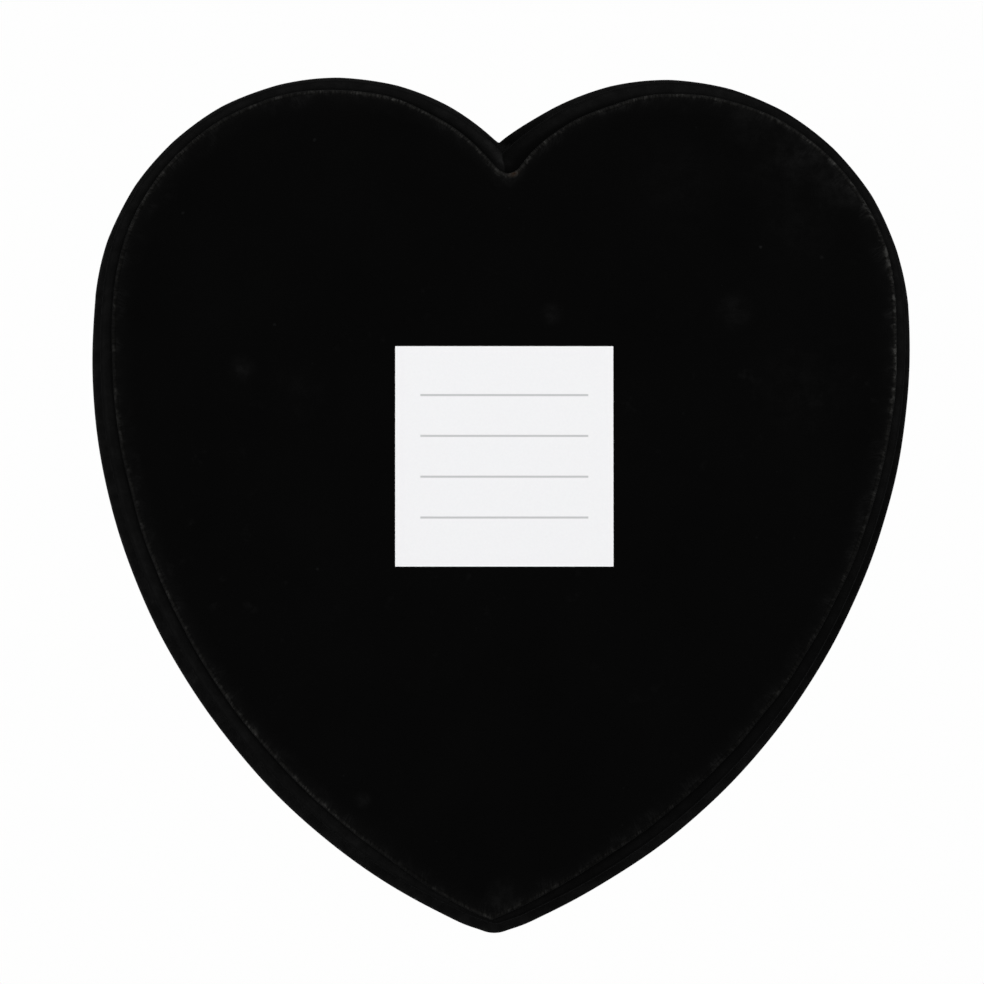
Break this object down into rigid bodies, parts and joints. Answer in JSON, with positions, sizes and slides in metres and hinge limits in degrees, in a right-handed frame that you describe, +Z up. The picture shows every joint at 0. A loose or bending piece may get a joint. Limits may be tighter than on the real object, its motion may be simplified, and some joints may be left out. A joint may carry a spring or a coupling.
{
  "type": "velvet heart box",
  "caption": "Heart-shaped velvet-covered board box with a padded lift-off lid, lined compartments and ring rolls.",
  "frame": {"origin": "middle of the box's length and width, on the surface it stands on", "axes": "+Z up, +Y from the tip of the heart to its notch, +X to the right as seen from the tip"},
  "size_m": [0.1442, 0.1508, 0.0551],
  "materials": {
    "black_velvet": "short-pile velvet",
    "grey_board": "solid grey board",
    "grey_foam": "open-cell foam",
    "white_paper": "matt coated paper",
    "black_lining_paper": "uncoated paper"
  },
  "bodies": {
    "tray": {"back_divider_board": "grey_board", "back_divider_velvet": "black_velvet", "bottom_panel_board": "grey_board", "bottom_panel_velvet": "black_velvet", "front_divider_board": "grey_board", "front_divider_velvet": "black_velvet", "lobe_divider_board": "grey_board", "lobe_divider_velvet": "black_velvet", "paper_label": "white_paper", "ring_roll_1_foam": "grey_foam", "ring_roll_1_velvet": "black_velvet", "ring_roll_2_foam": "grey_foam", "ring_roll_2_velvet": "black_velvet", "ring_roll_3_foam": "grey_foam", "ring_roll_3_velvet": "black_velvet", "ring_roll_4_foam": "grey_foam", "ring_roll_4_velvet": "black_velvet", "tray_floor_board": "grey_board", "tray_floor_lining": "black_velvet", "tray_wall_board": "grey_board", "tray_wall_lining": "black_velvet", "tray_wall_velvet": "black_velvet"},
    "lid": {"lid_ceiling_lining": "black_velvet", "lid_pad_board": "grey_board", "lid_pad_foam": "grey_foam", "lid_pad_velvet": "black_velvet", "lid_top_board": "grey_board", "lid_wall_board": "grey_board", "lid_wall_lining": "black_lining_paper", "lid_wall_velvet": "black_velvet"}
  },
  "joints": [
    {"name": "lid_lift", "type": "slide", "parent": "tray", "child": "lid", "axis": [0, 0, 1], "range_m": [0, 0.08]}
  ]
}
